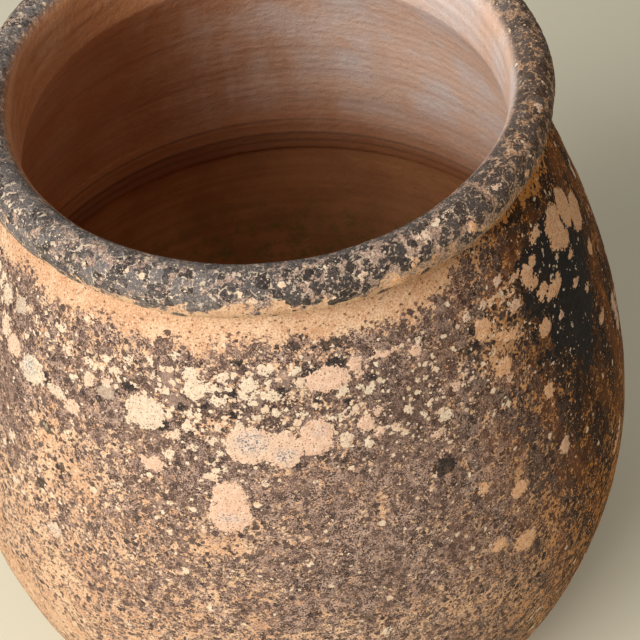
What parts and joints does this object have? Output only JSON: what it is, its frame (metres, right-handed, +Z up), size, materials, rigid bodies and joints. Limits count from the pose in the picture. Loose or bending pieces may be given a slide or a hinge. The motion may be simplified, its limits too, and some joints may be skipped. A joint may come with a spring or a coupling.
{
  "type": "olive jar",
  "caption": "Large egg-shaped terracotta storage jar with a rolled rim, raised in luted clay stages on a base slab; it stands on its flat foot and holds oil, olives or a plant.",
  "frame": {"origin": "centre of the flat underside of the foot", "axes": "+Z up along the jar's axis, towards the mouth; the jar is round, so X and Y are free"},
  "size_m": [0.62, 0.6199, 0.8],
  "materials": {
    "terracotta_foot": "bare fired clay, worn and soil-stained",
    "terracotta_inside": "bare fired clay, smoothed by hand",
    "terracotta_wall": "fired clay under a grey-brown weathered skin with pale and dark lichen",
    "terracotta_neck": "bare fired clay with fine dark specks",
    "terracotta_rim": "fired clay under charcoal lichen"
  },
  "bodies": {
    "root": {"base_slab": "terracotta_foot", "corner_coil": "terracotta_inside", "foot_wall": "terracotta_wall", "lower_wall": "terracotta_wall", "belly_wall": "terracotta_wall", "shoulder_wall": "terracotta_wall", "upper_shoulder_wall": "terracotta_wall", "neck_collar": "terracotta_neck", "rim_roll": "terracotta_rim"}
  },
  "joints": []
}
